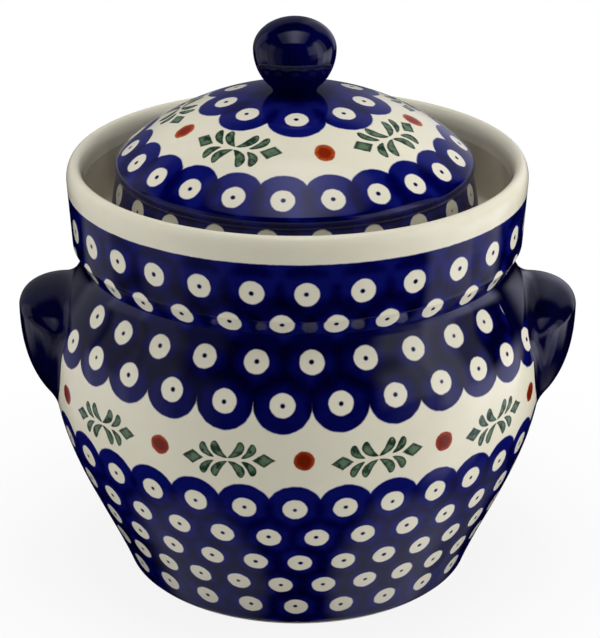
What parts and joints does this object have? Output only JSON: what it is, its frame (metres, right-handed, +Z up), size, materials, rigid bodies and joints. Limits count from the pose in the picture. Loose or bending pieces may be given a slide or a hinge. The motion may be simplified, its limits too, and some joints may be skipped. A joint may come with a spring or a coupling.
{
  "type": "fermentation crock",
  "caption": "Water-seal stoneware fermentation crock with side lugs, a gutter collar round its neck, a domed lid with a ball knob, and half-moon weights inside.",
  "frame": {"origin": "centre of the foot ring, on the surface that the crock stands on", "axes": "+Z up along the pot's axis, X from the left lug to the right lug, -Y towards the pictured front"},
  "size_m": [0.2816, 0.249, 0.2846],
  "materials": {
    "pot_glaze": "clear gloss glaze over blue and cream underglaze decoration",
    "collar_glaze": "clear gloss glaze over blue underglaze decoration, cream lip and gutter",
    "lid_glaze": "clear gloss glaze over blue and cream underglaze decoration",
    "knob_glaze": "deep cobalt blue gloss glaze",
    "lug_glaze": "deep cobalt blue gloss glaze",
    "weight_clay": "unglazed fired clay"
  },
  "bodies": {
    "crock": {"crock_body": "pot_glaze", "gutter_collar": "collar_glaze", "lug_left": "lug_glaze", "lug_right": "lug_glaze"},
    "lid": {"lid": "lid_glaze", "lid_knob": "knob_glaze"},
    "weight_left": {"weight_left": "weight_clay"},
    "weight_right": {"weight_right": "weight_clay"}
  },
  "joints": [
    {"name": "lid_lift", "type": "slide", "parent": "crock", "child": "lid", "axis": [0, 0, 1], "range_m": [0, 0.08]},
    {"name": "weight_left_lift", "type": "slide", "parent": "crock", "child": "weight_left", "axis": [0, 0, 1], "range_m": [0, 0.165]},
    {"name": "weight_right_lift", "type": "slide", "parent": "crock", "child": "weight_right", "axis": [0, 0, 1], "range_m": [0, 0.165]}
  ]
}
